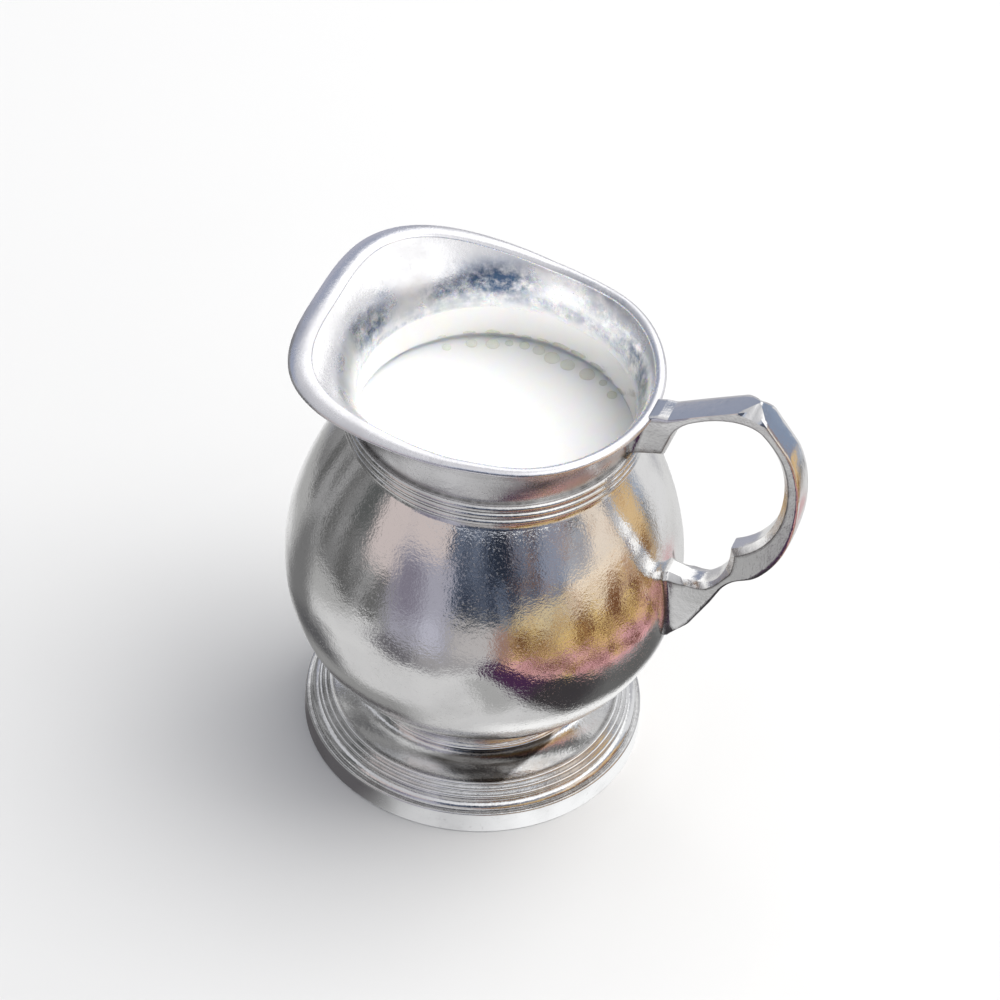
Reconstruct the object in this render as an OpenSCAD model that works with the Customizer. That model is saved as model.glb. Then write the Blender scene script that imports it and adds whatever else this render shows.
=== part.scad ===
// Small footed cream jug in silver or pewter: a spun round bowl on a stepped foot, a reeded ring
// round the neck, a flared mouth with a broad pouring lip let in at the front, a half-round wire
// soldered along its edge, and a cast strap handle on two soldered roots.
// The origin is the centre of the foot's bottom edge. +X points to the handle, -X to the lip.

/* [Bowl] */
// Largest outside radius of the bowl
belly_r = 37; // [35:0.5:38]
// Height of the widest part of the bowl
belly_z = 44.3; // [44:0.1:45]
// Depth of the bowl's round bottom below its widest part
belly_drop = 31; // [30:0.5:31.5]
// Height of the curve that runs from the widest part in to the neck
belly_rise = 50; // [48:0.5:52]
// Thickness of the sheet metal
wall = 1.0; // [0.8:0.1:1.2]

/* [Neck and mouth] */
// Outside radius of the neck
neck_r = 26.4; // [26:0.1:27]
// Height of the joint between neck and mouth
mouth_z = 80.5; // [80.5:0.5:81.5]
// Outside radius of the round part of the mouth's edge
rim_r = 30.4; // [30:0.1:31]
// Height of the mouth's edge, away from the lip
rim_z = 90; // [89:0.5:91]
// How much the wall draws in where the lip meets the round part
pinch = 1.2; // [0:0.1:1.5]
// Width of the half-round wire on the edge
wire_w = 2.1; // [1.8:0.1:2.4]

/* [Lip] */
// Reach of the lip from the jug's axis
lip_reach = 35.75; // [34:0.25:37]
// Squareness of the lip's outline: 2 is an oval, more is broader
lip_squareness = 3.25; // [2.4:0.05:4]
// How far the lip's edge stands above the rest of the edge
lip_rise = 2.8; // [0:0.1:4]
// Extra width of the turned-over edge round the lip
lip_band = 2.4; // [0:0.1:3]
// Angle from the lip's middle to its soldered seam on each side
lip_half_angle = 68; // [60:4:76]

/* [Foot] */
// Outside radius of the foot
foot_r = 31.95; // [31:0.05:33]
// Height of the upright band at the bottom of the foot
foot_band_h = 4.9; // [4.5:0.1:5.5]
// Radius of the small collar at the foot's waist
collar_r = 21.3; // [21:0.1:21.6]

/* [Handle] */
// Width of the handle's strap
strap_w = 5.6; // [4.5:0.1:7]

/* [Hidden] */

// Squareness of the bowl's curves below and above its widest part
low_squareness = 2.41;
top_squareness = 1.65;
// Steps along each half of the bowl's outline
bowl_steps = 22;
// Radius of the joint between the bowl's bottom and the foot
stem_r = 19.4;
// Reeds on the neck ring: their radius and heights, and the band that they stand on
neck_reed_r = 0.8;
neck_reed_z = [76.4, 78, 79.6];
neck_band_t = 0.35;
// Reeds on the foot: their radius and middles
foot_reed_r = 0.45;
foot_reeds = [[29.15, 6.75], [28.25, 7.55], [27.35, 8.35]];
// Degrees between cross-sections of the mouth, steps along its curve, and the degrees it turns
step_a = 4;
mouth_steps = 8;
mouth_turn = 60;
// Where the wall is pinched on each side, in degrees from the lip's middle, and how wide that is
pinch_a = 102;
pinch_spread = 18;
// How quickly the edge rises towards the lip's middle: 1 is a plain cosine
lip_rise_power = 1.2;
// The lip's turned-over edge: its slope, and how far each side of the lip it fades out
lip_tilt = 12;
band_spread = 78;
// The wire stands on the sheet's cut edge, seat_w wide, and hangs a little below it outside
seat_w = 1.25 * wall;
wire_h = 0.9;
wire_under = 0.5;
wire_corner = 0.35;
dome_steps = 8;
arc_steps = 8;
// Foot: inside radius of its band, round of its shoulder, and the hollow curve up to the collar
foot_inside_r = foot_r - 2.55;
shoulder_w = 1.7;
shoulder_h = 1.5;
cavetto_r = 26.9;
cavetto_w = 6.1;
cavetto_h = 2.3;
collar_z = 11;
collar_h = 2;
collar_bead_r = 0.7;
// Rounding at the corners of the foot's band
corner = 0.5;

// ---- outlines of the bowl ----

// Height of the bowl's lower curve at radius r
function bowl_low_z(r) = belly_z
    - belly_drop * pow(1 - pow(r / belly_r, low_squareness), 1 / low_squareness);

// Point on a bowl's lower curve, t from 90 at the middle of the bottom to 0 at the widest part
function low_point(t, r, drop) =
    [r * pow(cos(t), 2 / low_squareness), belly_z - drop * pow(sin(t), 2 / low_squareness)];

// Height at which the bowl's upper curve reaches the neck
shoulder_z = belly_z + belly_rise
    * pow(1 - pow(neck_r / belly_r, top_squareness), 1 / top_squareness);

// Radius of the bowl's upper curve at height z
function top_radius(z) =
    belly_r * pow(1 - pow((z - belly_z) / belly_rise, top_squareness), 1 / top_squareness);

function low_curve(inset) =
    [for (i = [0 : bowl_steps]) low_point(90 * (1 - i / bowl_steps), belly_r - inset, belly_drop - inset)];

function top_curve(inset) = [
    for (i = [1 : bowl_steps])
        let (z = belly_z + (shoulder_z - belly_z) * i / bowl_steps) [top_radius(z) - inset, z]
];

// Bowl and neck, from the middle of the bottom to the joint with the mouth
function bowl_curve(inset) =
    concat(low_curve(inset), top_curve(inset), [[neck_r - inset, mouth_z]]);

function reversed(points) = [for (i = [len(points) - 1 : -1 : 0]) points[i]];

// ---- outline of the mouth, by the angle a from the middle of the lip ----

// Share of the lip's turned-over edge at angle a: 1 at the lip, 0 at the back
function lip_share(a) = exp(-pow(abs(a) / band_spread, 4));

function edge_r(a) =
    (cos(a) > 0
        ? pow(pow(cos(a) / lip_reach, lip_squareness) + pow(abs(sin(a)) / rim_r, lip_squareness),
            -1 / lip_squareness)
        : rim_r)
    - pinch * exp(-pow((abs(a) - pinch_a) / pinch_spread, 2));

function edge_z(a) = rim_z + lip_rise * pow(max(cos(a), 0), lip_rise_power);
function edge_w(a) = wire_w + lip_band * lip_share(a);
function edge_tilt(a) = lip_tilt * lip_share(a);

// Inner corner under the wire, where the sheet's inside ends
function seat(a) = [
    edge_r(a) - edge_w(a) * cos(edge_tilt(a)),
    edge_z(a) + edge_w(a) * sin(edge_tilt(a))
];

// Inside of the flare at angle a, u from 0 at the neck to 1 at the wire
function flare_out(a) = (seat(a)[0] - neck_r + wall) / (1 - cos(mouth_turn));
function flare_up(a) = (seat(a)[1] - mouth_z) / sin(mouth_turn);

function flare_in(a, u) = [
    neck_r - wall + flare_out(a) * (1 - cos(u * mouth_turn)),
    mouth_z + flare_up(a) * sin(u * mouth_turn)
];

function flare_lean(a, u) = atan(flare_out(a) / flare_up(a) * tan(u * mouth_turn));

// Outside of the flare: one wall thickness out, and cut along the wire's underside at the top
function flare_outside(a, u) =
    let (p = flare_in(a, u), lean = u < 1 ? flare_lean(a, u) : edge_tilt(a))
        let (t = u < 1 ? wall : seat_w)
            p + t * [cos(lean), -sin(lean)];

function mouth_section(a) = concat(
    [for (i = [0 : mouth_steps]) flare_in(a, i / mouth_steps)],
    [for (i = [mouth_steps : -1 : 0]) flare_outside(a, i / mouth_steps)]
);

// Half-round wire at angle a, drawn flat and then tilted onto its seat
function wire_point(a, across, up) =
    seat(a) + [
        across * cos(edge_tilt(a)) + up * sin(edge_tilt(a)),
        up * cos(edge_tilt(a)) - across * sin(edge_tilt(a))
    ];

function wire_section(a) =
    let (w = edge_w(a))
        concat(
            [
                wire_point(a, 0, 0), wire_point(a, seat_w, 0),
                wire_point(a, 1.2 * seat_w, -0.8 * wire_under), wire_point(a, w - wire_corner, -wire_under)
            ],
            [for (i = [0 : dome_steps - 1])
                let (t = 180 * i / dome_steps) wire_point(a, w * (1 + cos(t)) / 2, wire_h * sin(t))]
        );

// Point of a section in space: angle a is counted from -X
function placed(a, p) = [-p[0] * cos(a), -p[0] * sin(a), p[1]];

// Solid through one closed section per angle. Open ends are closed flat; a full ring has none.
module swept(sections, angles, ring) {
    n = len(sections[0]);
    m = len(sections);
    points = [for (i = [0 : m - 1]) for (p = sections[i]) placed(angles[i], p)];
    last = ring ? m - 1 : m - 2;
    sides = [
        for (i = [0 : last]) for (k = [0 : n - 1])
            let (j = (i + 1) % m, l = (k + 1) % n)
                [i * n + k, j * n + k, j * n + l, i * n + l]
    ];
    triangles = [for (q = sides) each [[q[0], q[1], q[2]], [q[0], q[2], q[3]]]];
    ends = ring ? [] : [[for (k = [0 : n - 1]) k], [for (k = [n - 1 : -1 : 0]) (m - 1) * n + k]];
    polyhedron(points, concat(triangles, ends), convexity = 6);
}

// ---- handle ----

function bezier(p, t) = pow(1 - t, 3) * p[0] + 3 * pow(1 - t, 2) * t * p[1]
    + 3 * (1 - t) * t * t * p[2] + t * t * t * p[3];
function bezier_curve(p) = [for (i = [1 : arc_steps]) bezier(p, i / arc_steps)];

// Corners of the handle, as seen from the side
arm_top = [33.2, 91.6];
crown = [49.1, 100];
crown_end = [56.2, 91.2];
heel = [54.2, 61.6];
leg_top = [46.6, 54.6];
leg_split = [44.7, 50.2];
leg_foot = [41.2, 43.2];
leg_inner = [38.6, 53.4];
cusp = [47.3, 64.3];
hole_side = [55.8, 80.2];
hole_top = [47.4, 94.8];
arm_under = [38.5, 92.4];
root_side = [34.2, 86.6];
root_foot = [32.9, 82];
leg_end = [37.2, 38.6];

// Corners of the two roots inside the jug's wall, where they are cut to its surface
upper_root_inside = [[29.5, 90.95], [28.5, 89], [26, 86], [26, 79.8]];
lower_root_inside = [[33, 37], [33, 54]];

outer_back = [crown_end, [60.4, 84.5], [60.0, 69.5], heel];
outer_heel = [heel, [51.4, 57.4], [49.4, 59.4], leg_top];
hole_lower = [leg_inner, [43.6, 52.6], [47.6, 56.8], cusp];
hole_middle = [cusp, [50.8, 66.2], [55.4, 70.6], hole_side];
hole_upper = [hole_side, [56.2, 87.4], [53.0, 94.4], hole_top];
hole_arm = [hole_top, [44.2, 95.0], [41.0, 94.0], arm_under];
hole_root = [arm_under, [36.2, 91.2], [34.6, 89.0], root_side];

module strap(outline, width = strap_w) {
    translate([0, width / 2, 0])
        rotate([90, 0, 0])
            linear_extrude(width)
                polygon(outline);
}

// Everything inside the jug's outside surface, to trim the handle's roots to it
module jug_outside() {
    rotate_extrude($fn = 96)
        polygon(concat(
            [[0, bowl_low_z(0)]], bowl_curve(0),
            [for (i = [1 : mouth_steps]) flare_outside(180, i / mouth_steps)],
            [for (i = [2 : 3 + dome_steps]) wire_section(180)[i]],
            [[seat(180)[0], seat(180)[1]], [0, rim_z]]
        ));
}

// ---- the pieces ----

module body() {
    color("silver")
        rotate_extrude($fn = 96)
            polygon(concat(bowl_curve(0), reversed(bowl_curve(wall))));
}

module neck_band() {
    low = neck_reed_z[0] - neck_reed_r;
    high = neck_reed_z[len(neck_reed_z) - 1] + neck_reed_r;
    color("silver")
        rotate_extrude($fn = 96)
            union() {
                translate([neck_r, low]) square([neck_band_t, high - low]);
                for (z = neck_reed_z)
                    translate([neck_r + neck_band_t, z]) circle(r = neck_reed_r, $fn = 24);
            }
}

module mouth_flare() {
    angles = [for (a = [lip_half_angle : step_a : 360 - lip_half_angle]) a];
    color("silver") swept([for (a = angles) mouth_section(a > 180 ? a - 360 : a)], angles, false);
}

module pouring_lip() {
    angles = [for (a = [-lip_half_angle : step_a : lip_half_angle]) a];
    color("gainsboro") swept([for (a = angles) mouth_section(a)], angles, false);
}

module rim_wire() {
    angles = [for (a = [0 : step_a : 359]) a];
    color("white") swept([for (a = angles) wire_section(a > 180 ? a - 360 : a)], angles, true);
}

module foot_collar() {
    color("silver")
        rotate_extrude($fn = 96)
            difference() {
                union() {
                    translate([stem_r, collar_z]) square([collar_r - stem_r, collar_h]);
                    translate([collar_r, collar_z + collar_h / 2]) circle(r = collar_bead_r, $fn = 24);
                }
                square([stem_r, collar_z + 2 * collar_h]);
            }
}

// Hollow foot: waist, cavetto, reeds and rounded shoulder, standing on the bottom band
module foot() {
    shoulder = [for (i = [0 : arc_steps])
        let (t = 90 * i / arc_steps)
            [foot_inside_r + shoulder_w * cos(t), foot_band_h + shoulder_h * sin(t)]];
    cavetto = [for (i = [0 : arc_steps])
        let (t = 90 * i / arc_steps)
            [cavetto_r - cavetto_w * sin(t), collar_z - cavetto_h * cos(t)]];
    inside = [
        [stem_r - wall, collar_z], [stem_r + 1.2, collar_z - 1.4], [cavetto_r - 1.3, collar_z - 3.4],
        [foot_inside_r - 1.2, foot_band_h + 0.7], [foot_inside_r, foot_band_h]
    ];
    color("silver")
        rotate_extrude($fn = 96)
            union() {
                polygon(concat(
                    shoulder, cavetto, [[stem_r, collar_z], [stem_r, bowl_low_z(stem_r)]],
                    [[stem_r - wall, bowl_low_z(stem_r - wall)]], inside
                ));
                for (p = foot_reeds)
                    translate(p) circle(r = foot_reed_r, $fn = 24);
            }
}

module foot_rim() {
    color("silver")
        rotate_extrude($fn = 96)
            polygon([
                [foot_inside_r, corner], [foot_inside_r + corner, 0], [foot_r - corner, 0],
                [foot_r, corner], [foot_r, foot_band_h - corner], [foot_r - corner, foot_band_h],
                [foot_inside_r, foot_band_h]
            ]);
}

module handle() {
    color("lightgray")
        strap(concat(
            [arm_top, crown], [crown_end], bezier_curve(outer_back), bezier_curve(outer_heel),
            [leg_split, leg_inner], bezier_curve(hole_lower), bezier_curve(hole_middle),
            bezier_curve(hole_upper), bezier_curve(hole_arm), bezier_curve(hole_root)
        ));
}

module handle_upper_root() {
    color("gray")
        difference() {
            strap(concat([root_foot, root_side, arm_top], upper_root_inside));
            jug_outside();
        }
}

module handle_lower_root() {
    color("gray")
        difference() {
            strap(concat([leg_inner, leg_split, leg_foot, leg_end], lower_root_inside));
            jug_outside();
        }
}

body();
neck_band();
mouth_flare();
pouring_lip();
rim_wire();
foot_collar();
foot();
foot_rim();
handle();
handle_upper_root();
handle_lower_root();
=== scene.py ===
"""Looks of a small silver cream jug: smooth spun shells, soldered lip and wire, cast handle, cream."""

import math

import bmesh
import bpy
import numpy as np
from mathutils import Matrix, Vector, noise


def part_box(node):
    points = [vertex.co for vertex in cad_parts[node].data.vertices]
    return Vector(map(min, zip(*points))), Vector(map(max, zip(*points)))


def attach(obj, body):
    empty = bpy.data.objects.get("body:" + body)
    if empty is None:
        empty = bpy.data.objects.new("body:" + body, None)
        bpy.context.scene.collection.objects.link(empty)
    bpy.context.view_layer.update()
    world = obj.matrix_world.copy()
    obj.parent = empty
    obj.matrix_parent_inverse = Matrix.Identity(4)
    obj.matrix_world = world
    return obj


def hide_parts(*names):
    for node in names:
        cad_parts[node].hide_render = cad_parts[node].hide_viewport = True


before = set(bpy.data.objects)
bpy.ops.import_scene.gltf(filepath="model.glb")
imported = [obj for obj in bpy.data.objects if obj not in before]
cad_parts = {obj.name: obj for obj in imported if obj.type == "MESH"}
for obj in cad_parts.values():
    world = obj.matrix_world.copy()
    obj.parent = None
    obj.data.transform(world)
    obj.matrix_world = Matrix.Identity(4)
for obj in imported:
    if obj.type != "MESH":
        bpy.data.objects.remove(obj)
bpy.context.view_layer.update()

MM = 0.001
BODY = "root"


def reach(node, axis, side=1):
    """How far a CAD node reaches along an axis, in millimetres: side 1 is its high end, 0 its low."""
    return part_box(node)[side][axis] / MM


# ---- sizes, in millimetres: the outer ones come from the frame, the rest repeat the design ----

X, Y, Z = 0, 1, 2
WALL = 1.0
BELLY_R = reach("body", X)
BELLY_Z = 44.3
BELLY_DROP = BELLY_Z - reach("body", Z, 0)
BELLY_RISE = 50.0
LOW_SQUARENESS, TOP_SQUARENESS = 2.41, 1.65
NECK_R = 26.4
MOUTH_Z = reach("body", Z)
NECK_REED_R = 0.8
NECK_REED_Z = [76.4, 78.0, 79.6]
NECK_BAND_T = 0.35

RIM_R = reach("rim_wire", Y)
RIM_Z = 90.0
LIP_REACH = -reach("rim_wire", X, 0)
LIP_SQUARENESS = 3.25
LIP_RISE, LIP_RISE_POWER = 2.8, 1.2
LIP_BAND, LIP_TILT, BAND_SPREAD = 2.4, 12.0, 78.0
LIP_HALF_ANGLE = 68.0
PINCH, PINCH_A, PINCH_SPREAD = 1.2, 102.0, 18.0
MOUTH_TURN = 60.0
WIRE_W, WIRE_H, WIRE_UNDER, WIRE_CORNER = 2.1, 0.9, 0.5, 0.35
SEAT_W = 1.25 * WALL

FOOT_R = reach("foot_rim", X)
FOOT_BAND_H = reach("foot_rim", Z)
FOOT_INSIDE_R = FOOT_R - 2.55
SHOULDER_W, SHOULDER_H = 1.7, 1.5
FOOT_REED_R = 0.45
FOOT_REEDS = [(29.15, 6.75), (28.25, 7.55), (27.35, 8.35)]
CAVETTO_R, CAVETTO_W, CAVETTO_H = 26.9, 6.1, 2.3
COLLAR_Z, COLLAR_H, COLLAR_R, COLLAR_BEAD_R = 11.0, 2.0, 21.3, 0.7
STEM_R = 19.4

STRAP_W = reach("handle", Y) - reach("handle", Y, 0)
ARM_TOP, CROWN, CROWN_END = (33.2, 91.6), (49.1, 100.0), (56.2, 91.2)
HEEL, LEG_TOP, LEG_SPLIT = (54.2, 61.6), (46.6, 54.6), (44.7, 50.2)
LEG_FOOT, LEG_END, LEG_INNER = (41.2, 43.2), (37.2, 38.6), (38.6, 53.4)
CUSP, HOLE_SIDE, HOLE_TOP = (47.3, 64.3), (55.8, 80.2), (47.4, 94.8)
ARM_UNDER, ROOT_SIDE, ROOT_FOOT = (38.5, 92.4), (34.2, 86.6), (32.9, 82.0)

CREAM_Z, CREAM_DEPTH = 71.8, 4.0
# The cream climbs this high at the wall, and falls away over this width
MENISCUS_H, MENISCUS_W = 0.6, 0.9

# How far a soldered ring sinks into what it sits on
SINK = 0.02

# Mesh fineness: steps round the axis, degrees between mouth sections, gap along an outline
TURNS = 288
MOUTH_STEP = 1.0
GAP = 0.45


# ---- outlines ----

def bezier(p, t):
    """Point of a cubic Bezier curve."""
    p = np.array(p, float)
    s = 1 - t
    return s ** 3 * p[0] + 3 * s * s * t * p[1] + 3 * s * t * t * p[2] + t ** 3 * p[3]


def path(*stretches):
    """Function that gives the point at a share, 0 to 1, of the length of some joined stretches."""
    points = []
    for stretch in stretches:
        points += stretch if not points else stretch[1:]
    points = np.array(points, float)
    lengths = np.concatenate([[0], np.cumsum(np.linalg.norm(np.diff(points, axis=0), axis=1))])

    def at(part):
        s = part * lengths[-1]
        return np.array([np.interp(s, lengths, points[:, 0]), np.interp(s, lengths, points[:, 1])])

    return at


def curve(control, start=0.0, end=1.0, steps=40):
    """Points along a cubic Bezier curve, between two of its parameters."""
    return [tuple(bezier(control, start + (end - start) * i / steps)) for i in range(steps + 1)]


def arc(middle, radius, start, end, steps):
    """Points on a circle's arc, with angles in degrees."""
    turns = [math.radians(start + (end - start) * i / steps) for i in range(steps + 1)]
    return [(middle[0] + radius * math.cos(t), middle[1] + radius * math.sin(t)) for t in turns]


def fillet(points, radius, least=25.0, steps=5):
    """The closed outline with each corner that turns by over `least` degrees rounded off."""
    out, n = [], len(points)
    for i in range(n):
        here = np.array(points[i], float)
        before, after = np.array(points[i - 1], float), np.array(points[(i + 1) % n], float)
        a, b = before - here, after - here
        la, lb = np.linalg.norm(a), np.linalg.norm(b)
        turn = 180 - math.degrees(math.acos(np.clip(a @ b / (la * lb), -1, 1)))
        if turn < least:
            out.append(here)
            continue
        cut = min(radius * math.tan(math.radians(turn) / 2), 0.45 * la, 0.45 * lb)
        start, end = here + a / la * cut, here + b / lb * cut
        for k in range(steps + 1):
            t = k / steps
            out.append((1 - t) ** 2 * start + 2 * t * (1 - t) * here + t * t * end)
    return out


def spaced(points, gap=GAP, closed=True):
    """The outline with its long straight stretches cut into pieces no longer than `gap`."""
    out, n = [], len(points)
    for i in range(n if closed else n - 1):
        a, b = np.array(points[i], float), np.array(points[(i + 1) % n], float)
        pieces = max(1, math.ceil(np.linalg.norm(b - a) / gap))
        out += [a + (b - a) * k / pieces for k in range(pieces)]
    if not closed:
        out.append(np.array(points[-1], float))
    return out


def shoulder_z():
    """Height at which the belly's upper curve meets the neck."""
    return BELLY_Z + BELLY_RISE * (1 - (NECK_R / BELLY_R) ** TOP_SQUARENESS) ** (1 / TOP_SQUARENESS)


def bowl_curve(inset, steps=70):
    """Bowl and neck from the middle of the bottom up to the mouth's joint."""
    low = []
    for i in range(steps + 1):
        t = math.pi / 2 * (1 - i / steps)
        low.append((
            (BELLY_R - inset) * max(math.cos(t), 0) ** (2 / LOW_SQUARENESS),
            BELLY_Z - (BELLY_DROP - inset) * math.sin(t) ** (2 / LOW_SQUARENESS),
        ))
    low[0] = (0.0, low[0][1])
    top_z = shoulder_z()
    heights = [BELLY_Z + (top_z - BELLY_Z) * i / steps for i in range(1, steps + 1)]
    top = [(
        BELLY_R * (1 - ((z - BELLY_Z) / BELLY_RISE) ** TOP_SQUARENESS) ** (1 / TOP_SQUARENESS) - inset, z
    ) for z in heights]
    return low + top + [(NECK_R - inset, MOUTH_Z)]


def belly_radius(z):
    """Outside radius of the bowl at height z."""
    curve = np.array(bowl_curve(0))
    return np.interp(z, curve[:, 1], curve[:, 0])


def belly_underside(r):
    """Height of the bowl's outside at radius r, under its widest part."""
    return BELLY_Z - BELLY_DROP * (1 - (r / BELLY_R) ** LOW_SQUARENESS) ** (1 / LOW_SQUARENESS)


def lip_share(a):
    """How much of the lip's wide turned edge there is at angle a, 0 to 1."""
    return math.exp(-(abs(a) / BAND_SPREAD) ** 4)


def seat(a):
    """Inner corner of the wire at angle a, counted in degrees from the lip's middle."""
    c, s = math.cos(math.radians(a)), abs(math.sin(math.radians(a)))
    r = RIM_R
    if c > 0:
        sides = (c / LIP_REACH) ** LIP_SQUARENESS + (s / RIM_R) ** LIP_SQUARENESS
        r = sides ** (-1 / LIP_SQUARENESS)
    r -= PINCH * math.exp(-((abs(a) - PINCH_A) / PINCH_SPREAD) ** 2)
    z = RIM_Z + LIP_RISE * max(c, 0) ** LIP_RISE_POWER
    tilt = math.radians(LIP_TILT * lip_share(a))
    w = WIRE_W + LIP_BAND * lip_share(a)
    return np.array((r - w * math.cos(tilt), z + w * math.sin(tilt))), w, tilt


def flare_point(a, u, out=0.0):
    """Point of the flare, u from 0 at the neck to 1 under the wire, `out` of the inside surface."""
    top, _, tilt = seat(a)
    across = (top[0] - NECK_R + WALL) / (1 - math.cos(math.radians(MOUTH_TURN)))
    up = (top[1] - MOUTH_Z) / math.sin(math.radians(MOUTH_TURN))
    t = math.radians(u * MOUTH_TURN)
    lean = math.atan(across / up * math.tan(t)) * (1 - u ** 12) + tilt * u ** 12
    return np.array((
        NECK_R - WALL + across * (1 - math.cos(t)) + out * math.cos(lean),
        MOUTH_Z + up * math.sin(t) - out * math.sin(lean),
    ))


def mouth_section(a, steps=26):
    """The flare's section at angle a: up its inside and down its outside."""
    inside = [flare_point(a, i / steps) for i in range(steps + 1)]
    outside = [
        flare_point(a, i / steps, WALL + (SEAT_W - WALL) * (i / steps) ** 12)
        for i in range(steps, -1, -1)
    ]
    return inside + outside


def wire_section(a, steps=22):
    """Half-round wire, turned over wider round the lip, lying on its tilted seat."""
    corner, w, tilt = seat(a)
    flat = [(0.0, 0.0), (SEAT_W, 0.0), (1.2 * SEAT_W, -0.8 * WIRE_UNDER)]
    flat += [(w - WIRE_CORNER, -WIRE_UNDER), (w - 0.1, -0.6 * WIRE_UNDER)]
    for i in range(steps):
        t = math.pi * i / steps
        flat.append((w * (1 + math.cos(t)) / 2, WIRE_H * math.sin(t)))
    c, s = math.cos(tilt), math.sin(tilt)
    return [corner + (x * c + z * s, z * c - x * s) for x, z in flat]


# ---- meshes ----

# Dents of hand-worked sheet: size and depth of the broad ones and of the small ones
BROAD_SIZE, BROAD_DEPTH, SMALL_SIZE, SMALL_DEPTH = 17.0, 0.11, 6.5, 0.035


def dented(points):
    """Points moved a little in and out, less so close to the axis and near the table."""
    out = np.array(points, float).reshape(-1, 3)
    for p in out:
        r = math.hypot(p[0], p[1])
        if r < 1e-6:
            continue
        broad = noise.noise(Vector(p) / BROAD_SIZE + Vector((3.1, 0.4, 7.7)))
        small = noise.noise(Vector(p) / SMALL_SIZE + Vector((9.2, 4.6, 1.3)))
        lift = min(max((p[2] - 1.0) / 12.0, 0.0), 1.0) * min(r / 10.0, 1.0)
        shift = (BROAD_DEPTH * broad + SMALL_DEPTH * small) * lift
        p[0] += p[0] / r * shift
        p[1] += p[1] / r * shift
    return out.reshape(np.shape(points))


def linked(name, data):
    """New object with this name and data, put in the scene."""
    obj = bpy.data.objects.new(name, data)
    bpy.context.scene.collection.objects.link(obj)
    return obj


def mesh_from(name, shape):
    """Mesh made from a bmesh, which is freed."""
    mesh = bpy.data.meshes.new(name)
    shape.to_mesh(mesh)
    shape.free()
    return mesh


def skin(name, rings, around, caps=False, on_axis=False):
    """Closed mesh through sections, given in millimetres as rings[section][point].

    `around` joins last to first; `on_axis` is for outlines that begin and end on the axis."""
    rings = np.array(rings, float)
    m, n, _ = rings.shape
    faces = []
    for i in range(m if around else m - 1):
        j = (i + 1) % m
        for k in range(n - 1 if on_axis else n):
            after = (k + 1) % n
            faces.append((i * n + k, j * n + k, j * n + after, i * n + after))
    if caps:
        faces.append(tuple(range(n)))
        faces.append(tuple((m - 1) * n + k for k in range(n - 1, -1, -1)))
    mesh = bpy.data.meshes.new(name)
    mesh.from_pydata([tuple(v) for v in rings.reshape(-1, 3) * MM], [], faces)
    shape = bmesh.new()
    shape.from_mesh(mesh)
    bmesh.ops.remove_doubles(shape, verts=shape.verts, dist=2e-6)
    bmesh.ops.recalc_face_normals(shape, faces=shape.faces)
    shape.to_mesh(mesh)
    shape.free()
    return linked(name, mesh)


def turned(outline, turns=TURNS):
    """Sections of an outline of (radius, height) turned round the jug's axis."""
    rings = []
    for i in range(turns):
        t = 2 * math.pi * i / turns
        rings.append([(r * math.cos(t), r * math.sin(t), z) for r, z in outline])
    return np.array(rings)


def swept(section, angles):
    """Sections of the mouth, each at its own angle from the lip's middle."""
    rings = []
    for a in angles:
        t = math.radians(a)
        turn = a - 360 if a > 180 else a
        rings.append([(-r * math.cos(t), -r * math.sin(t), z) for r, z in section(turn)])
    return np.array(rings)


# ---- tarnish, painted shade and painted reflections ----

# Rings where dirt gathers, as (radius, height, width)
CREVICES = [
    # Under the neck's ring, over it, and between its reeds
    (NECK_R, NECK_REED_Z[0] - NECK_REED_R, 0.5),
    (NECK_R, NECK_REED_Z[-1] + NECK_REED_R, 0.5),
    *[(NECK_R + NECK_BAND_T, (low + high) / 2, 0.38) for low, high in zip(NECK_REED_Z, NECK_REED_Z[1:])],
    # Over the waist's collar and under it
    (STEM_R + 0.4, COLLAR_Z + COLLAR_H + 0.5, 0.8),
    (CAVETTO_R - CAVETTO_W, COLLAR_Z - 0.1, 0.6),
    # On the standing band, outside each of the foot's reeds, and inside the last one
    (FOOT_R - 0.6, FOOT_BAND_H, 0.45),
    *[(r + 0.75, z - 0.05, 0.35) for r, z in FOOT_REEDS],
    (26.8, 8.75, 0.35),
]
# Above this height the jug is wiped more often than below it
WIPED_Z, WIPED_DIRT, UNWIPED_DIRT = 60.0, 0.5, 0.6


def grime(points):
    """How much dark tarnish sits at each point, 0 to 1."""
    r, z = np.hypot(points[:, 0], points[:, 1]), points[:, 2]
    darkening = np.zeros(len(points))
    for cr, cz, width in CREVICES:
        darkening = np.maximum(darkening, np.exp(-((r - cr) ** 2 + (z - cz) ** 2) / width ** 2))
    return darkening * np.where(z > WIPED_Z, WIPED_DIRT, UNWIPED_DIRT)


def ramp(values, low, high):
    """0 below `low`, 1 above `high`, smooth between."""
    t = np.clip((values - low) / (high - low), 0, 1)
    return t * t * (3 - 2 * t)


def outward(points, normals):
    """Above 0 where the surface faces away from the jug's axis, below 0 where it faces it."""
    return normals[:, 0] * points[:, 0] + normals[:, 1] * points[:, 1]


# Neck: heights over which the painted shade's streaks under the mouth fade in and out, and the radius that
# they stay inside
STREAKS_START, STREAKS_END, STREAKS_R = (74.6, 76.2), (87.5, 90.0), 35.0
# Waist: radii over which its painted dark reflection and patina fade in and out, and the height that they
# stay under
WAIST_START, WAIST_END, WAIST_Z = (20.4, 21.2), (27.0, 28.2), 11.6
# The darkest wedge of the waist, a painted dark reflection, as (radius, angle) along the edge where it
# starts and where it ends
WEDGE_START = [(20.5, -70.0), (22.0, -86.0), (23.0, -93.0), (24.5, -84.0), (26.0, -75.0), (27.5, -66.0)]
WEDGE_END = [(20.5, -22.0), (22.0, -27.0), (23.0, -40.0), (25.0, -51.0), (27.5, -58.0)]
WEDGE_DARK = 0.93


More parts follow.
